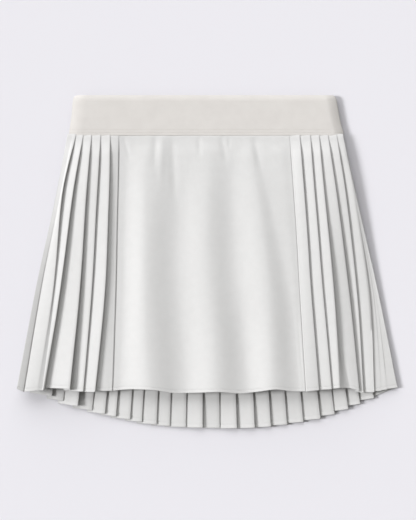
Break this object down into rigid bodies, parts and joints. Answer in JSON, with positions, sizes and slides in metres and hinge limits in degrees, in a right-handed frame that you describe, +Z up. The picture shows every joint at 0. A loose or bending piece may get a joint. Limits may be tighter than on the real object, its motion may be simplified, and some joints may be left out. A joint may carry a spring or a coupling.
{
  "type": "pleated skort",
  "caption": "Skort laid flat: an elastic waistband, a plain front panel between knife-pleated sides, and a longer pleated back.",
  "frame": {"origin": "middle of the underside's bounding box, on the surface the garment lies on", "axes": "+X across the garment to the viewer's right, +Y along it towards the waistband, +Z up from the surface, out of the garment's front"},
  "size_m": [0.4669, 0.4099, 0.0223],
  "materials": {
    "band_elastic": "matte ribbed elastic, warm off-white",
    "skirt_cloth": "smooth matte woven polyester, off-white",
    "shorts_cloth": "matte stretch knit, off-white"
  },
  "bodies": {
    "root": {"waistband": "band_elastic", "front_panel": "skirt_cloth", "pleats_left": "skirt_cloth", "pleats_right": "skirt_cloth", "pleats_back": "skirt_cloth", "shorts_left": "shorts_cloth", "shorts_right": "shorts_cloth"}
  },
  "joints": []
}
